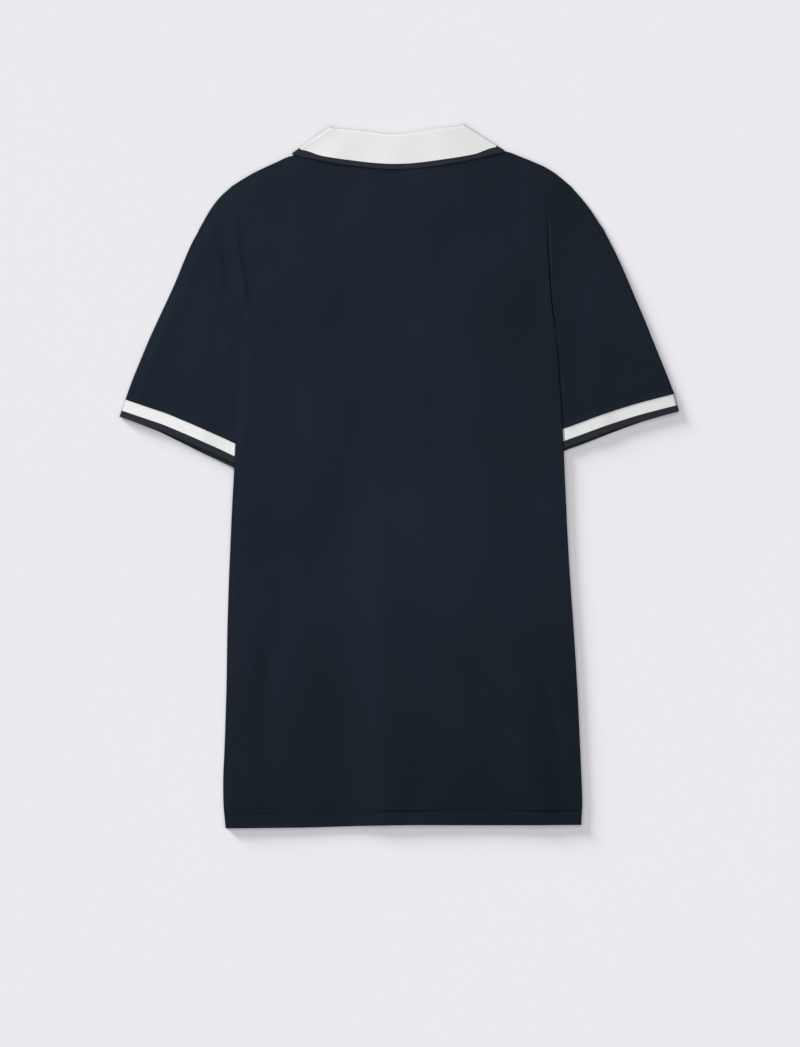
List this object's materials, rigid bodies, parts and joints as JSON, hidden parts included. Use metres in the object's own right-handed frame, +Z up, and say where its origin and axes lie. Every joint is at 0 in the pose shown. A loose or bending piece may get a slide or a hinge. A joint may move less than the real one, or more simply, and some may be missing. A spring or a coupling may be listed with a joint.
{
  "type": "polo shirt",
  "caption": "Navy short-sleeved polo shirt laid flat with its back up, sides folded in, white knitted collar and cuffs with navy edges.",
  "frame": {"origin": "middle of the shirt's outline seen from above, on the surface that it lies on", "axes": "+Y from the hem towards the collar, +X to the right with the back in view, +Z up out of the back of the shirt"},
  "size_m": [0.5952, 0.7492, 0.0075],
  "materials": {
    "navy_jersey": "matt knitted cotton",
    "navy_rib": "matt flat-knitted rib",
    "white_rib": "matt flat-knitted rib",
    "button_navy": "satin"
  },
  "bodies": {
    "root": {"front_panel": "navy_jersey", "back_panel": "navy_jersey", "collar": "white_rib", "collar_tipping": "navy_rib", "placket_outer": "navy_jersey", "placket_inner": "navy_jersey", "sleeve_left": "navy_jersey", "cuff_left": "white_rib", "cuff_tipping_left": "navy_rib", "sleeve_right": "navy_jersey", "cuff_right": "white_rib", "cuff_tipping_right": "navy_rib", "button_1": "button_navy", "button_2": "button_navy", "button_3": "button_navy"}
  },
  "joints": []
}
